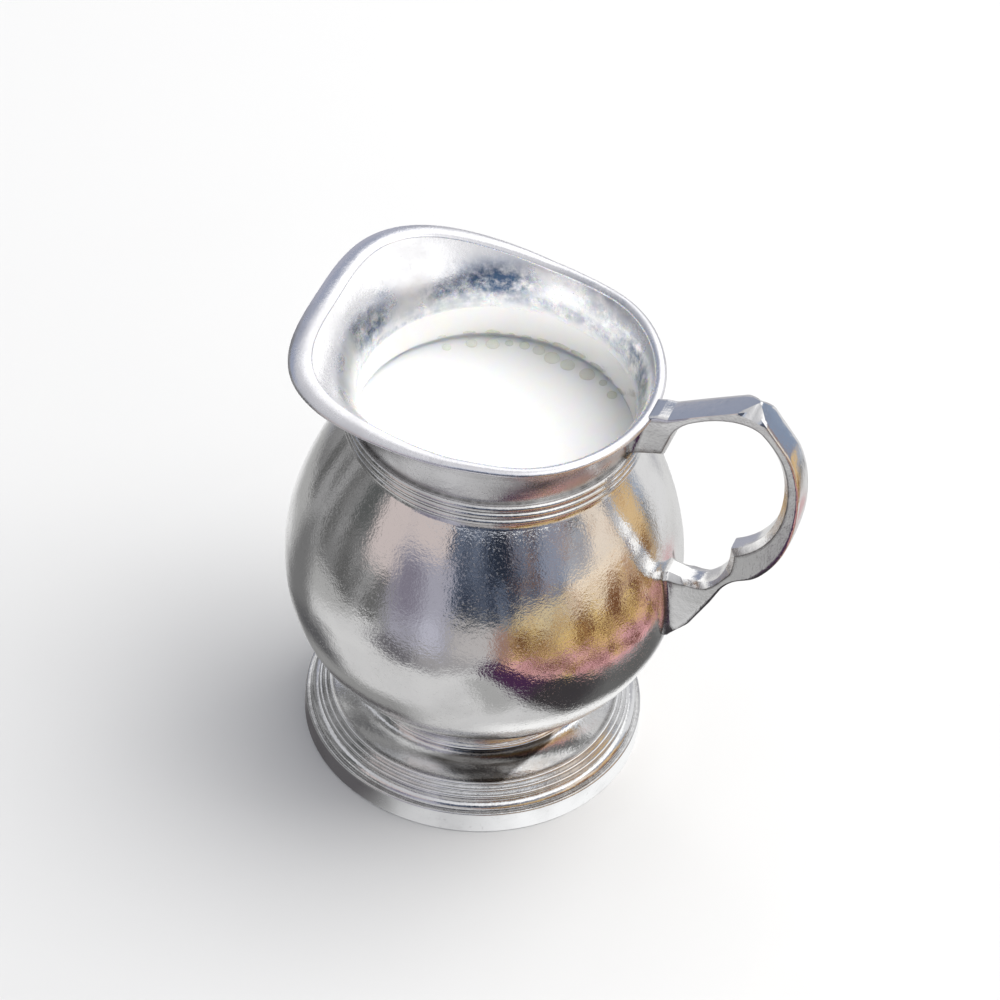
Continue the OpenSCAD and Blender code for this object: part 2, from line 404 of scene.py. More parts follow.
def painted_shade_and_patina(points, normals):
    """Painted shade with streaks under the mouth; in the foot's waist, a painted dark reflection in a
    wedge and uneven patina round it.
    """
    angle = np.degrees(np.arctan2(points[:, 1], points[:, 0]))
    r, z = np.hypot(points[:, 0], points[:, 1]), points[:, 2]
    uneven = np.array([
        noise.noise(Vector((math.radians(a) * 4.0, 1.7, h * 0.05))) for a, h in zip(angle, z)
    ])
    under_mouth = (outward(points, normals) > 0) * (r < STREAKS_R)
    under_mouth = under_mouth * ramp(z, *STREAKS_START) * (1 - ramp(z, *STREAKS_END))
    streaks = 0.5 + 0.9 * uneven
    painted_neck_shade = under_mouth * np.clip(0.05 + 0.3 * streaks, 0, 0.8)
    waist = (normals[:, 2] > 0.1) * ramp(r, *WAIST_START) * (1 - ramp(r, *WAIST_END)) * (z < WAIST_Z)
    start = np.interp(r, *zip(*WEDGE_START))
    end = np.interp(r, *zip(*WEDGE_END))
    # The wedge fades in softly and ends in a slanting edge towards the handle
    wedge = ramp(angle, start - 7.0, start + 9.0) * (1 - ramp(angle, end - 2.5, end + 2.5))
    foot_shade_and_patina = waist * (WEDGE_DARK * wedge + (1 - wedge) * np.clip(0.5 * uneven, 0, 1))
    return np.maximum(painted_neck_shade, foot_shade_and_patina)


# Painted blue-grey reflections in the mouth, of a dark blue room: angle from the lip's middle, height,
# half sizes, strength
BLUE_REFLECTIONS = [
    (-68, 86.4, 17, 3.2, 1.2), (-48, 85.0, 12, 1.9, 0.9), (-150, 85.5, 24, 3.0, 1.0),
    (-118, 87.0, 16, 2.4, 0.5), (-8, 85.5, 13, 2.6, 0.95), (3, 86.8, 6, 3.4, 0.8),
    (0, 81.2, 60, 0.9, 0.6), (-95, 83.2, 78, 1.7, 0.5), (-115, 90.5, 20, 4.0, 0.4),
]
# The painted blue reflections stop short of the mouth's edge
BLUE_REFLECTION_R = 34.0


def painted_blue_reflection(points):
    """How strongly the painted blue reflection shows at each point, 0 to 1."""
    angle = np.degrees(np.arctan2(-points[:, 1], -points[:, 0]))
    inside = np.hypot(points[:, 0], points[:, 1]) < BLUE_REFLECTION_R
    blue_reflection = np.zeros(len(points))
    for middle, z, half_a, half_z, strength in BLUE_REFLECTIONS:
        away = ((angle - middle) / half_a) ** 2 + ((points[:, 2] - z) / half_z) ** 2
        blue_reflection = np.maximum(blue_reflection, strength * np.exp(-away ** 1.5))
    return blue_reflection * inside * (points[:, 2] > MOUTH_Z)


# The part of the bowl's inside that is washed clean lies between these heights
WASHED_LOW, WASHED_HIGH = 16.0, MOUTH_Z + 1.5


def piece(obj, node, material, sharp=38.0, extra_darkening=None):
    """Finishes a mesh: smooth shading with crisp edges over `sharp` degrees, tarnish, painted shade and
    reflections, material, place.
    """
    mesh = obj.data
    for p in mesh.polygons:
        p.use_smooth = True
    mesh.set_sharp_from_angle(angle=math.radians(sharp))
    points = np.array([v.co for v in mesh.vertices]) / MM
    normals = np.array([v.normal for v in mesh.vertices])
    darkening = grime(points)
    if extra_darkening is not None:
        darkening = np.maximum(darkening, extra_darkening(points))
    r, z = np.hypot(points[:, 0], points[:, 1]), points[:, 2]
    # Point layers: tarnish with painted edge shade on the handle, painted shade with patina, a painted
    # blue reflection on inner faces, and the washed part
    layers = {
        "tarnish_and_edge_shade": darkening,
        "painted_shade_and_patina": painted_shade_and_patina(points, normals),
        "blue_reflection": painted_blue_reflection(points) * (outward(points, normals) < 0),
        "washed": (r < NECK_R - 0.5) & (z > WASHED_LOW) & (z < WASHED_HIGH),
    }
    for name, values in layers.items():
        layer = mesh.attributes.new(name, "FLOAT", "POINT")
        layer.data.foreach_set("value", values.astype(np.float32))
    mesh.materials.append(material)
    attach(obj, BODY)
    if node:
        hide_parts(node)


# ---- node materials ----

class Nodes:
    """Small helper that adds and links shader nodes."""

    def __init__(self, tree):
        self.tree = tree
        self.tree.nodes.clear()

    def add(self, kind, **settings):
        """New shader node of a kind, with some of its settings."""
        node = self.tree.nodes.new("ShaderNode" + kind)
        for key, value in settings.items():
            setattr(node, key, value)
        return node

    def link(self, source, target):
        self.tree.links.new(source, target)

    def value(self, socket, source):
        """Sets a socket to a number or colour, or links it to another socket."""
        if isinstance(source, bpy.types.NodeSocket):
            self.link(source, socket)
        else:
            socket.default_value = source

    def math(self, operation, a, b=0.0, clamp=False):
        """Result of an operation on numbers; `clamp` holds it between 0 and 1."""
        node = self.add("Math", operation=operation, use_clamp=clamp)
        self.value(node.inputs[0], a)
        self.value(node.inputs[1], b)
        return node.outputs[0]

    def plus(self, a, b, clamp=False):
        return self.math("ADD", a, b, clamp)

    def times(self, a, b, clamp=False):
        return self.math("MULTIPLY", a, b, clamp)

    def span(self, source, low, high, to_low=0.0, to_high=1.0):
        """Maps a range of a value smoothly to another range, and holds it there outside."""
        node = self.add("MapRange", interpolation_type="SMOOTHSTEP")
        self.value(node.inputs["Value"], source)
        limits = {"From Min": low, "From Max": high, "To Min": to_low, "To Max": to_high}
        for socket, value in limits.items():
            node.inputs[socket].default_value = value
        return node.outputs["Result"]

    def mix(self, factor, a, b):
        """Colour between a, at factor 0, and b, at factor 1."""
        node = self.add("Mix", data_type="RGBA")
        self.value(node.inputs["Factor"], factor)
        self.value(node.inputs["A"], a)
        self.value(node.inputs["B"], b)
        return node.outputs["Result"]

    def noise(self, vector, scale, detail=2.0, rough=0.5, offset=(0, 0, 0), stretch=(1, 1, 1)):
        """Noise with features about 1/scale metres wide."""
        moved = self.add("Mapping")
        self.link(vector, moved.inputs["Vector"])
        moved.inputs["Location"].default_value = offset
        moved.inputs["Scale"].default_value = [scale * s for s in stretch]
        node = self.add("TexNoise", noise_dimensions="3D")
        self.link(moved.outputs["Vector"], node.inputs["Vector"])
        node.inputs["Scale"].default_value = 1.0
        node.inputs["Detail"].default_value = detail
        node.inputs["Roughness"].default_value = rough
        return node.outputs["Fac"]

    def bump(self, height, depth, below=None):
        """Bump of a height map, `depth` in metres, on top of another normal."""
        node = self.add("Bump")
        node.inputs["Strength"].default_value = 1.0
        node.inputs["Distance"].default_value = depth
        self.link(height, node.inputs["Height"])
        if below is not None:
            self.link(below, node.inputs["Normal"])
        return node.outputs["Normal"]


def new_material(name):
    """Empty material and the helper for its nodes."""
    material = bpy.data.materials.new(name)
    material.use_nodes = True
    return material, Nodes(material.node_tree)


def principled(name, looks):
    """Material with one shader, with `looks` set on its sockets.

    Returns the material, its node helper, its object coordinates and the shader."""
    material, n = new_material(name)
    place = n.add("TexCoord").outputs["Object"]
    out = n.add("OutputMaterial")
    shader = n.add("BsdfPrincipled")
    for socket, value in looks.items():
        shader.inputs[socket].default_value = value
    n.link(shader.outputs["BSDF"], out.inputs["Surface"])
    return material, n, place, shader


# Dark colour of tarnish and of painted shade
TARNISH_AND_SHADE = (0.1, 0.092, 0.086, 1)
# Colour of the painted blue reflection
REFLECTED_BLUE = (0.1, 0.16, 0.27, 1)


def silver(name, tone, rough=(0.05, 0.13), pits=1.0, ripple=1.0, seed=0.0):
    """Old polished silver: fine pits, soft ripples, polishing lines, tarnish in the corners, and painted
    shade and blue reflections.

    `rough` is the range of roughness, and `seed` moves the noise, so that parts differ."""
    material, n, place, metal = principled(name, {"Metallic": 1.0})
    shift = (seed, seed * 0.7, -seed)

    cloud = n.noise(place, 90, 4, 0.55, shift)
    fine = n.noise(place, 900, 3, 0.6, shift)
    pit = n.noise(place, 2300, 2, 0.5, shift)
    lines = n.noise(place, 260, 3, 0.6, shift, stretch=(0.25, 0.25, 9.0))
    scratch = n.noise(place, 420, 2, 0.5, shift, stretch=(4.0, 0.35, 1.1))
    corner, painted_shade_and_patina, blue_reflection, washed = [
        n.add("Attribute", attribute_name=layer).outputs["Fac"]
        for layer in ("tarnish_and_edge_shade", "painted_shade_and_patina", "blue_reflection", "washed")
    ]
    unwashed = n.math("SUBTRACT", 1.0, n.times(washed, 0.85))

    speck = n.span(fine, 0.6, 0.74, 0.0, 0.1)
    film = n.plus(n.times(n.span(cloud, 0.45, 0.75), 0.16), speck)
    darkening = n.times(film, unwashed)
    # Tarnish in the crevices, and on the handle a painted dark line of edge shade along its ridges
    darkening = n.plus(darkening, n.times(corner, n.span(fine, 0.25, 0.6, 0.6, 0.95)), True)
    # Painted shade under the mouth, painted dark reflection and patina in the foot's waist
    darkening = n.plus(darkening, n.times(painted_shade_and_patina, n.span(lines, 0.3, 0.65, 0.8, 1.05)), True)
    colour = n.mix(darkening, (*tone, 1), TARNISH_AND_SHADE)
    # Painted blue reflection, broken up by noise
    blue_reflection = n.times(blue_reflection, n.span(n.noise(place, 420, 5, 0.7, shift), 0.28, 0.66), True)
    colour = n.mix(blue_reflection, colour, REFLECTED_BLUE)
    n.link(colour, metal.inputs["Base Color"])

    gloss = n.span(cloud, 0.3, 0.7, *rough)
    gloss = n.plus(gloss, n.times(corner, 0.25), True)
    gloss = n.plus(gloss, n.span(lines, 0.5, 0.75, 0.0, 0.05), True)
    worn = n.times(n.span(pit, 0.54, 0.66), n.span(cloud, 0.35, 0.6, 0.06, 0.2 * pits))
    gloss = n.plus(gloss, n.times(worn, unwashed), True)
    n.link(gloss, metal.inputs["Roughness"])

    surface = n.bump(n.noise(place, 150, 2, 0.5, shift), 0.00007 * ripple)
    surface = n.bump(n.noise(place, 520, 4, 0.7, shift), 0.00005 * ripple, surface)
    surface = n.bump(pit, 0.000022 * pits, surface)
    surface = n.bump(lines, 0.000006, surface)
    surface = n.bump(n.span(scratch, 0.62, 0.7), 0.000004, surface)
    n.link(surface, metal.inputs["Normal"])
    return material


def cream_material():
    """Thick fresh cream: soft, white, a little warm in soft swirls."""
    material, n, place, milk = principled("cream", {
        "Roughness": 0.28, "IOR": 1.35, "Subsurface Weight": 1.0, "Subsurface Scale": 0.002,
        "Subsurface Radius": (1.0, 0.8, 0.55),
    })
    swirl = n.noise(place, 70, 3, 0.5)
    white, warm = (0.985, 0.985, 0.945, 1), (0.965, 0.96, 0.885, 1)
    n.link(n.mix(n.span(swirl, 0.45, 0.75), white, warm), milk.inputs["Base Color"])
    surface = n.bump(n.noise(place, 140, 3, 0.5), 0.00006)
    n.link(surface, milk.inputs["Normal"])
    return material


def bubble_material():
    """Thin wet film of the bubbles."""
    looks = {"Roughness": 0.05, "IOR": 1.3, "Transmission Weight": 0.75}
    material, n, place, film = principled("cream_film", looks)
    tint = n.mix(n.noise(place, 500), (0.97, 0.98, 0.92, 1), (0.89, 0.91, 0.83, 1))
    n.link(tint, film.inputs["Base Color"])
    return material


# ---- the pieces ----

def beside_lower_root(points):
    """Dirt on the bowl along both sides of the handle's lower root."""
    y, z = np.abs(points[:, 1]), points[:, 2]
    beside = np.abs(y - STRAP_W / 2 - 0.2) < 0.5
    along = (z > LEG_END[1] - 0.5) & (z < LEG_INNER[1] + 1.1)
    return 0.8 * ((points[:, 0] > 30) & beside & along)


def build_bowl(material):
    """Bowl and neck in one, as spun from one sheet."""
    outline = bowl_curve(0) + [(r, z) for r, z in reversed(bowl_curve(WALL))]
    rings = dented(turned(spaced(outline, 1.2, closed=False)))
    obj = skin("bowl", rings, around=True, on_axis=True)
    piece(obj, "body", material, extra_darkening=beside_lower_root)


def turned_piece(name, node, material, outline, gap, sharp):
    """Piece turned from a closed outline, with no stretch of it longer than `gap`."""
    obj = skin(name, dented(turned(spaced(outline, gap))), around=True)
    piece(obj, node, material, sharp=sharp)


def build_neck_ring(material):
    """The soldered ring with its reeds."""
    inner, face = NECK_R - SINK, NECK_R + NECK_BAND_T
    low, high = NECK_REED_Z[0] - NECK_REED_R, NECK_REED_Z[-1] + NECK_REED_R
    outline = [(inner, high), (inner, low), (face, low)]
    for z in NECK_REED_Z:
        outline += arc((face, z), NECK_REED_R, -84, 84, 12)
    outline += [(face, high)]
    turned_piece("neck_ring", "neck_band", material, outline, 0.3, 60)


# The fold hammered into the lip's throat: its depth, its width and its angle from the lip's middle
FOLD_DEPTH, FOLD_WIDTH, FOLD_ANGLE = 0.22, 0.55, -4.0
# It is this high, forks at this share of its height, and then opens by this many degrees
FOLD_H, FORK_AT, FORK_ANGLE = 10.0, 0.35, 7.5


def held(value):
    """The value, held between 0 and 1."""
    return min(max(value, 0), 1)


def creased(rings, angles):
    """The lip's wall with a fold in its throat, which forks in two and fades out towards the edge."""
    rings = np.array(rings)
    for i, a in enumerate(angles):
        for k in range(rings.shape[1]):
            x, y, z = rings[i, k]
            r = math.hypot(x, y)
            up = (z - MOUTH_Z) / FOLD_H
            spread = FORK_ANGLE * max(up - FORK_AT, 0.0)
            off = a - FOLD_ANGLE
            side = min(abs(off - spread), abs(off + spread)) * math.pi / 180 * r
            depth = FOLD_DEPTH * math.exp(-(side / FOLD_WIDTH) ** 2)
            depth *= held((up - 0.05) / 0.15) * held((0.95 - up) / 0.3)
            rings[i, k, 0] += -x / r * depth
            rings[i, k, 1] += -y / r * depth
    return rings


def build_mouth(material):
    """The round part of the mouth, between the lip's seams."""
    angles = np.arange(LIP_HALF_ANGLE, 360 - LIP_HALF_ANGLE + 0.01, MOUTH_STEP)
    obj = skin("mouth_wall", dented(swept(mouth_section, angles)), around=False, caps=True)
    piece(obj, "mouth_flare", material)


def build_lip(material):
    """The pouring lip, let into the mouth."""
    angles = np.arange(-LIP_HALF_ANGLE, LIP_HALF_ANGLE + 0.01, MOUTH_STEP)
    rings = creased(dented(swept(mouth_section, angles)), angles)
    obj = skin("lip_wall", rings, around=False, caps=True)
    piece(obj, "pouring_lip", material)


def build_wire(material):
    """The rounded wire along the edge of mouth and lip."""
    angles = np.arange(0, 360, MOUTH_STEP)
    obj = skin("rim_bead", dented(swept(wire_section, angles)), around=True)
    piece(obj, "rim_wire", material, sharp=50)


def build_collar(material):
    """The small collar with one bead at the foot's waist."""
    middle, top = COLLAR_Z + COLLAR_H / 2, COLLAR_Z + COLLAR_H
    outline = [(STEM_R - SINK, top), (STEM_R - SINK, COLLAR_Z), (COLLAR_R, COLLAR_Z)]
    outline += [(COLLAR_R, middle - COLLAR_BEAD_R)]
    outline += arc((COLLAR_R, middle), COLLAR_BEAD_R, -86, 86, 12)
    outline += [(COLLAR_R, middle + COLLAR_BEAD_R), (COLLAR_R, top)]
    turned_piece("waist_collar", "foot_collar", material, outline, 0.3, 60)


def build_foot(material):
    """The spun foot: shoulder, reeds, hollowed waist and stem, hollow from below."""
    quarter = [math.radians(90 * i / 12) for i in range(12)]
    shoulder = [
        (FOOT_INSIDE_R + SHOULDER_W * math.cos(t), FOOT_BAND_H + SHOULDER_H * math.sin(t)) for t in quarter
    ]
    # Each reed stands out of the slope between shoulder and cavetto
    reeds = []
    slope = math.degrees(math.atan2(
        FOOT_REEDS[-1][1] - FOOT_REEDS[0][1], FOOT_REEDS[-1][0] - FOOT_REEDS[0][0]
    )) - 90
    for reed in FOOT_REEDS:
        reeds += arc(reed, FOOT_REED_R, slope - 66, slope + 66, 8)
    quarter = [math.radians(90 * i / 16) for i in range(17)]
    cavetto = [
        (CAVETTO_R - CAVETTO_W * math.sin(t), COLLAR_Z - CAVETTO_H * math.cos(t)) for t in quarter
    ]
    outline = shoulder + reeds + cavetto
    outline += [(STEM_R, COLLAR_Z), (STEM_R, belly_underside(STEM_R))]
    # The inside runs down again, a little over the wall's thickness away from the outside
    outline += [(STEM_R - WALL, belly_underside(STEM_R - WALL)), (STEM_R - WALL, COLLAR_Z)]
    outline += [(STEM_R + 1.2, COLLAR_Z - 1.4), (CAVETTO_R - 1.3, COLLAR_Z - 3.4)]
    outline += [(FOOT_INSIDE_R - 1.2, FOOT_BAND_H + 0.7), (FOOT_INSIDE_R, FOOT_BAND_H)]
    turned_piece("foot_shell", "foot", material, outline, 0.4, 50)


def build_foot_ring(material):
    """The upright band that the foot stands on."""
    outline = [(FOOT_INSIDE_R, 0), (FOOT_R, 0), (FOOT_R, FOOT_BAND_H), (FOOT_INSIDE_R, FOOT_BAND_H)]
    turned_piece("foot_ring", "foot_rim", material, fillet(outline, 0.5), 0.5, 50)


# The strap's inner edges are cut off at a slant, and a fine ridge runs along each cut, with a painted dark
# line of edge shade along it
EDGE_CUT, RIDGE_GAP, RIDGE_SHADE_W = 1.25, 0.18, 0.2
# The back swells by this much. Its edges are bevelled by this much, and far more on the crown
SWELL, BEVEL = 0.12, 0.4
FACET_LONG, FACET_DEEP = 3.3, 2.0
BACK_POINTS, BEVEL_POINTS, SIDE_STEPS = 9, 2, 8


def strap_section(outer, inner, facet=0.0, width=STRAP_W, swell=SWELL):
    """Section of the strap between a point on its back and one on its inside.

    `facet` runs from 0, a narrow rounded back edge, to 1, where the crown's facets meet."""
    e = outer - inner
    d = np.linalg.norm(e)
    e = e / d
    half = width / 2
    deep = min(BEVEL + FACET_DEEP * facet, 0.42 * d)
    wide = BEVEL + (half - 0.5) * facet
    cut = min(EDGE_CUT, 0.36 * d)
    flatness = 0.25 + 0.25 * facet
    top = []
    for i in range(BACK_POINTS):
        y = (half - wide) * (i / (BACK_POINTS // 2) - 1)
        top.append((d + swell * (1 - facet) * (1 - (y / half) ** 2), y))
    side = [(d - deep * flatness, half - wide * flatness), (d - deep, half)]
    for i in range(1, SIDE_STEPS + 1):
        side.append((cut + RIDGE_GAP + (d - deep - cut - RIDGE_GAP) * (1 - i / SIDE_STEPS), half))
    side += [(cut, half), (cut - RIDGE_GAP, half - RIDGE_GAP), (0.0, half - cut)]
    inside = [
        (-0.5 * swell * (1 - (y / half) ** 2), y) for y in (half - cut) * np.linspace(0.75, -0.75, 7)
    ]
    flat = top + side + inside + [(u, -y) for u, y in reversed(side)]
    return [(inner[0] + e[0] * u, y, inner[1] + e[1] * u) for u, y in flat]


def ridges(rings):
    """Points of the two lines where the strap's sides meet its cut edges."""
    rings = np.array(rings)
    down_side = BEVEL_POINTS + SIDE_STEPS
    return np.concatenate([rings[:, BACK_POINTS + down_side], rings[:, -1 - down_side]])


def painted_ridge_shade(line):
    """Painted dark line of edge shade along the ridge lines, as a function of points."""
    def darkening(points):
        gap = np.min(np.linalg.norm(points[:, None, :] - line[None, :, :], axis=2), axis=1)
        return np.exp(-(gap / RIDGE_SHADE_W) ** 2)
    return darkening


# Outlines of the handle between its named points: the finger hole's edge, and the strap's back
HOLE_UPPER = [HOLE_SIDE, (56.2, 87.4), (53.0, 94.4), HOLE_TOP]
HOLE_LOWER = [LEG_INNER, (43.6, 52.6), (47.6, 56.8), CUSP]
HOLE_MIDDLE = [CUSP, (50.8, 66.2), (55.4, 70.6), HOLE_SIDE]
HOLE_ARM = [HOLE_TOP, (44.2, 95.0), (41.0, 94.0), ARM_UNDER]
HOLE_ROOT = [ARM_UNDER, (36.2, 91.2), (34.6, 89.0), ROOT_SIDE]
OUTER_BACK = [CROWN_END, (60.4, 84.5), (60.0, 69.5), HEEL]
OUTER_HEEL = [HEEL, (51.4, 57.4), (49.4, 59.4), LEG_TOP]


def build_handle(material):
    """The strap from its upper root, over the crown, down the back and in to the lower root."""
    # Each stretch has its back, its inside and its number of steps
    stretches = [
        (path([ARM_TOP, CROWN]), path(curve(HOLE_ROOT, 1, 0), curve(HOLE_ARM, 1, 0)), 44),
        (path([CROWN, CROWN_END]), path(curve(HOLE_UPPER, 1, 0.45)), 26),
        (path(curve(OUTER_BACK)), path(curve(HOLE_UPPER, 0.45, 0), curve(HOLE_MIDDLE, 1, 0)), 70),
        (path(curve(OUTER_HEEL)), path(curve(HOLE_LOWER, 1, 0.5)), 26),
        (path([LEG_TOP, LEG_SPLIT]), path(curve(HOLE_LOWER, 0.5, 0)), 16),
    ]
    outer, inner = [], []
    for back, inside, steps in stretches:
        # Each end is the next stretch's start, so only the last one keeps its own
        for i in range(steps + (back is stretches[-1][0])):
            outer.append(back(i / steps))
            inner.append(inside(i / steps))
    outer, inner = np.array(outer), np.array(inner)
    outer[1:-1] = (outer[:-2] + 2 * outer[1:-1] + outer[2:]) / 4
    crown = outer[stretches[0][2]]
    rings = []
    for o, q in zip(outer, inner):
        facet = 0.96 * max(1 - np.linalg.norm(o - crown) / FACET_LONG, 0)
        rings.append(strap_section(o, q, facet))
    rings = dented(np.array(rings))
    obj = skin("handle_strap", rings, around=False, caps=True)
    # Painted dark line of edge shade along the ridges
    darkening = painted_ridge_shade(ridges(rings))
    piece(obj, "handle", material, sharp=26, extra_darkening=darkening)


# A root widens by this much over this last share of its length, and reaches this far into the wall
SOLDER_W, SOLDER_SHARE, ROOT_SINK = 0.9, 0.2, 0.35


def build_root(name, node, outer, inner, wall_radius, material):
    """One of the handle's roots, from the strap's end into the jug's wall, with a solder fillet."""
    steps = 24
    outer, inner = path(outer), path(inner)
    rings = []
    for i in range(steps + 1):
        t = i / steps
        wide = STRAP_W + SOLDER_W * max((t - (1 - SOLDER_SHARE)) / SOLDER_SHARE, 0) ** 2
        rings.append(strap_section(outer(t), inner(t), 0.0, wide, SWELL * (1 - t)))
    rings = dented(np.array(rings))
    # Painted dark line of edge shade along the ridges
    ridge_shade = painted_ridge_shade(ridges(rings))
    for p in rings[-1]:
        r = wall_radius(p[2]) - ROOT_SINK
        p[0] = math.sqrt(max(r * r - p[1] ** 2, 0))
    obj = skin(name, rings, around=False, caps=True)

    # Dirt in the joint with the wall, and painted edge shade along the ridges
    def root_dirt_and_shade(points):
        r = np.hypot(points[:, 0], points[:, 1])
        at_wall = 0.9 * np.exp(-((r - wall_radius(points[:, 2])) / 0.5) ** 2)
        return np.maximum(at_wall, ridge_shade(points))

    piece(obj, node, material, sharp=26, extra_darkening=root_dirt_and_shade)


def mouth_radius(z):
    """Outside radius of neck, flare and wire at the handle's side."""
    curve_points = [(NECK_R, z0) for z0 in (70.0, MOUTH_Z)]
    curve_points += [tuple(flare_point(180, i / 20, WALL)) for i in range(1, 21)]
    curve_points += [(RIM_R, RIM_Z), (RIM_R - 1.0, RIM_Z + WIRE_H)]
    table = np.array(curve_points)
    return np.interp(z, table[:, 1], table[:, 0])


def build_roots(material):
    """The handle's upper root at the mouth and its lower root on the bowl."""
    build_root(
        "upper_root", "handle_upper_root",
        [ARM_TOP, (31.2, 91.35), (28.9, 90.6)], [ROOT_SIDE, ROOT_FOOT, (26.2, 79.9)],
        mouth_radius, material,
    )
    build_root(
        "lower_root", "handle_lower_root",
        [LEG_SPLIT, LEG_FOOT, LEG_END], [LEG_INNER, (35.8, 53.9)],
        belly_radius, material,
    )


def cream_edge(z):
    """Radius at which the cream meets the bowl's inside, a little into the wall."""
    inside = np.array(bowl_curve(WALL))
    return float(np.interp(z, inside[:, 1], inside[:, 0])) + 0.15


def build_cream(material):
    """Cream up to the neck, climbing a little at the wall."""
    edge, bottom = cream_edge(CREAM_Z), CREAM_Z - CREAM_DEPTH
    outline = [(0.0, CREAM_Z)]
    for i in range(1, 41):
        r = edge * i / 40
        outline.append((r, CREAM_Z + MENISCUS_H * math.exp((r - edge) / MENISCUS_W)))
    outline += [(cream_edge(bottom), bottom), (0.0, bottom)]
    rings = turned(spaced(outline, 0.8, closed=False), 180)
    obj = skin("cream", rings, around=True, on_axis=True)
    piece(obj, None, material)


# Bubbles at the cream's far edge, as (angle from +X, gap to the wall, radius)
BUBBLES = [
    (132, 1.2, 0.9), (121, 0.9, 1.1), (112, 1.0, 1.3), (105, 0.9, 0.8), (98.5, 0.7, 1.0), (92, 0.8, 1.2),
    (85, 1.4, 1.5), (77, 1.5, 1.4), (67, 0.9, 1.5), (59, 0.8, 0.8), (51, 1.0, 1.0),
]
# They float this much above the cream's surface, and are this much flatter than round
BUBBLE_LIFT, BUBBLE_FLAT = 0.05, 0.6


def faces_in_order(shape):
    """A bmesh's faces in a fixed order, because the sphere tool's own order varies from run to run."""
    faces = []
    for face in shape.faces:
        corners = [v.index for v in face.verts]
        first = corners.index(min(corners))
        faces.append(corners[first:] + corners[:first])
    return sorted(faces)


def build_bubbles(film):
    """The row of bubbles, in one piece."""
    bubbles = bmesh.new()
    edge = cream_edge(CREAM_Z)
    squash = Matrix.Diagonal((1, 1, BUBBLE_FLAT, 1))
    for turn, gap, radius in BUBBLES:
        t = math.radians(turn)
        r = edge - gap - radius
        middle = Vector((r * math.cos(t), r * math.sin(t), CREAM_Z + BUBBLE_LIFT)) * MM
        bmesh.ops.create_uvsphere(
            bubbles, u_segments=28, v_segments=14, radius=radius * MM,
            matrix=Matrix.Translation(middle) @ squash,
        )
    bubbles.verts.index_update()
    mesh = bpy.data.meshes.new("cream_bubbles")
    mesh.from_pydata([v.co for v in bubbles.verts], [], faces_in_order(bubbles))
    bubbles.free()
    obj = linked("cream_bubbles", mesh)
    # So thin a film hardly shades the cream below
    obj.visible_shadow = False
    piece(obj, None, film)


# ---- studio ----

def direction(azimuth, elevation):
    """Unit vector; azimuth 0 is +X and 90 is +Y, in degrees."""
    a, e = math.radians(azimuth), math.radians(elevation)
    return Vector((math.cos(a) * math.cos(e), math.sin(a) * math.cos(e), math.sin(e)))


def patchwork(n, base, first, second, patches):
    """Colour with soft-edged patches, each over a range of two coordinates.

    A patch is ((low, high), (low, high), (softness, softness), colour)."""
    colour = base
    for first_range, second_range, soft, tone in patches:
        mask = None
        for value, (low, high), edge in zip((first, second), (first_range, second_range), soft):
            rise = n.span(value, low - edge, low + edge)
            fall = n.span(value, high - edge, high + edge, 1.0, 0.0)
            window = n.times(rise, fall)
            mask = window if mask is None else n.times(mask, window)
        colour = n.mix(mask, colour, (*tone, 1))
    return colour


def reflection_only(name, shape, paint):
    """Stage mesh that glows in the colour `paint` gives it and is seen only in reflections."""
    mesh = mesh_from(name, shape)
    obj = linked(name, mesh)
    material, n = new_material(name)
    out = n.add("OutputMaterial")
    glow = n.add("Emission")
    place = n.add("TexCoord").outputs["Object"]
    parts = n.add("SeparateXYZ")
    n.link(place, parts.inputs["Vector"])
    n.link(paint(n, place, parts.outputs), glow.inputs["Color"])
    n.link(glow.outputs["Emission"], out.inputs["Surface"])
    mesh.materials.append(material)
    obj.visible_camera = False
    obj.visible_diffuse = False
    obj.visible_shadow = False
    obj.visible_transmission = False


def azimuth_of(n, parts):
    """Angle round the jug in degrees, 0 at +X."""
    angle = n.math("ARCTAN2", parts["Y"], parts["X"])
    return n.times(angle, 180 / math.pi)


# Size of the room's wall, and how far the table top lies above the floor
ROOM_R, ROOM_H, TABLE_Z = 0.15, 0.126, 0.0004

# Patches of the room: ranges of azimuth and of height in millimetres, softness of each, colour.
# First the walls left of the dark shape
ROOM_LEFT = [
    ((-153, -141), (60, 300), (2.5, 8), (0.095, 0.1, 0.1)),
    ((-137, -116), (50, 300), (2.5, 8), (0.57, 0.5, 0.49)),
    ((-116, -84), (-20, 300), (4, 10), (0.36, 0.355, 0.42)),
    ((-116, -102), (26, 80), (6, 14), (0.2, 0.185, 0.235)),
    ((-99, -88), (-20, 34), (4, 12), (0.47, 0.47, 0.55)),
    ((-117, -91), (87, 300), (1.2, 5), (0.57, 0.5, 0.49)),
]
